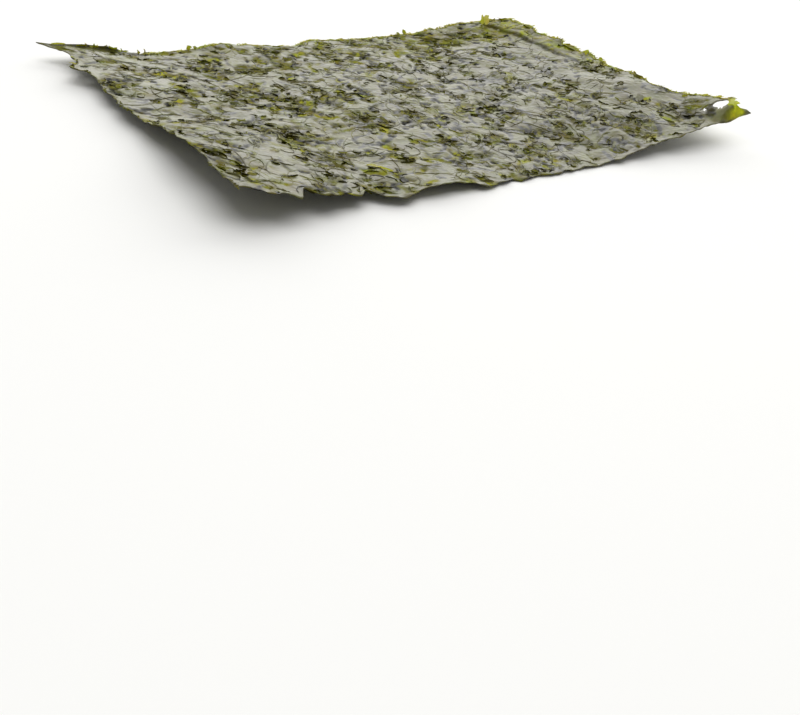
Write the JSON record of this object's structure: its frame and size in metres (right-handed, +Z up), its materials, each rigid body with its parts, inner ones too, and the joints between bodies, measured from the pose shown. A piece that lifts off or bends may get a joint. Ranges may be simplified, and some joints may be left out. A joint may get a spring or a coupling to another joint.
{
  "type": "nori sheet",
  "caption": "Crisp sheet of pressed, dried laver with torn edges, curled short sides, a turned-up lip, a creased side strip and a torn hole in one corner, lying flat in the middle.",
  "frame": {"origin": "on the table under the middle of the sheet's box", "axes": "+X along the long side, +Y along the short side to the back edge, +Z up out of the smooth upper face"},
  "size_m": [0.2888, 0.1931, 0.0203],
  "materials": {
    "laver": "dark green-black pressed laver with a satin grey sheen and olive to yellow-green thin blades"
  },
  "bodies": {
    "root": {"nori_sheet": "laver"}
  },
  "joints": []
}
